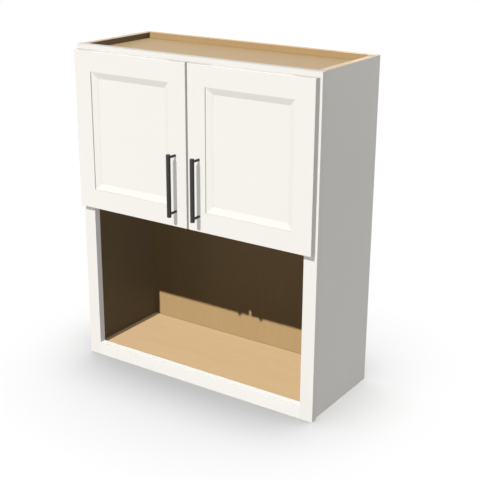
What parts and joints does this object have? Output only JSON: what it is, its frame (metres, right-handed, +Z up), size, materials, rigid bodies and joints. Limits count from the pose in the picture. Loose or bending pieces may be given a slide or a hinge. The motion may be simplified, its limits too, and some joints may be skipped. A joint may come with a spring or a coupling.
{
  "type": "kitchen wall cabinet",
  "caption": "White painted face-frame kitchen wall cabinet with a pair of recessed-panel doors over an open shelf, black bar handles.",
  "frame": {"origin": "middle of the plan's bounding box, at the underside of the face frame", "axes": "+X to the right seen from the front, +Y from the doors to the wall, +Z up"},
  "size_m": [0.762, 0.3574, 0.9144],
  "materials": {
    "paint": "painted white, satin",
    "wood": "clear coated",
    "handle_finish": "satin",
    "steel": "nickel plated",
    "bumper": "soft clear"
  },
  "bodies": {
    "cabinet": {"left_frame_stile": "paint", "right_frame_stile": "paint", "frame_top_rail": "paint", "frame_middle_rail": "paint", "frame_bottom_rail": "paint", "frame_dowels": "wood", "left_side": "paint", "right_side": "paint", "top_board": "wood", "bottom_board": "wood", "deck_board": "wood", "back_board": "wood", "top_hanging_rail": "wood", "bottom_hanging_rail": "wood", "adjustable_shelf": "wood", "shelf_pins": "steel", "left_hinge_arms": "steel", "left_arm_screws": "steel", "left_arm_pins": "steel", "right_hinge_arms": "steel", "right_arm_screws": "steel", "right_arm_pins": "steel"},
    "left_door": {"left_door_hinge_stile": "paint", "left_door_handle_stile": "paint", "left_door_top_rail": "paint", "left_door_bottom_rail": "paint", "left_door_panel": "paint", "left_door_bumpers": "bumper", "left_handle_bar": "handle_finish", "left_handle_posts": "handle_finish", "left_handle_screws": "steel", "left_hinge_cups": "steel", "left_cup_screws": "steel", "left_cup_pins": "steel"},
    "left_inner_link": {"left_inner_links": "steel"},
    "left_outer_link": {"left_outer_links": "steel"},
    "right_door": {"right_door_hinge_stile": "paint", "right_door_handle_stile": "paint", "right_door_top_rail": "paint", "right_door_bottom_rail": "paint", "right_door_panel": "paint", "right_door_bumpers": "bumper", "right_handle_bar": "handle_finish", "right_handle_posts": "handle_finish", "right_handle_screws": "steel", "right_hinge_cups": "steel", "right_cup_screws": "steel", "right_cup_pins": "steel"},
    "right_inner_link": {"right_inner_links": "steel"},
    "right_outer_link": {"right_outer_links": "steel"}
  },
  "joints": [
    {"name": "left_inner_link_swing", "type": "hinge", "parent": "cabinet", "child": "left_inner_link", "pos_m": [-0.33265, -0.10443, 0.68263], "axis": [0, 0, 1], "range_deg": [0, 25]},
    {"name": "left_door_swing", "type": "hinge", "parent": "left_inner_link", "child": "left_door", "pos_m": [-0.36365, -0.12893, 0.68263], "axis": [0, 0, -1], "range_deg": [0, 117]},
    {"name": "left_outer_link_swing", "type": "hinge", "parent": "left_door", "child": "left_outer_link", "pos_m": [-0.35815, -0.12993, 0.68263], "axis": [0, 0, 1], "range_deg": [0, 117.5]},
    {"name": "right_inner_link_swing", "type": "hinge", "parent": "cabinet", "child": "right_inner_link", "pos_m": [0.33265, -0.10443, 0.68263], "axis": [0, 0, -1], "range_deg": [0, 25]},
    {"name": "right_door_swing", "type": "hinge", "parent": "right_inner_link", "child": "right_door", "pos_m": [0.36365, -0.12893, 0.68263], "axis": [0, 0, 1], "range_deg": [0, 117]},
    {"name": "right_outer_link_swing", "type": "hinge", "parent": "right_door", "child": "right_outer_link", "pos_m": [0.35815, -0.12993, 0.68263], "axis": [0, 0, -1], "range_deg": [0, 117.5]}
  ],
  "couplings": [
    {"joint": "left_inner_link_swing", "follows": "left_door_swing", "ratio": 0.2126},
    {"joint": "left_outer_link_swing", "follows": "left_door_swing", "ratio": 1},
    {"joint": "right_inner_link_swing", "follows": "right_door_swing", "ratio": 0.2126},
    {"joint": "right_outer_link_swing", "follows": "right_door_swing", "ratio": 1}
  ]
}
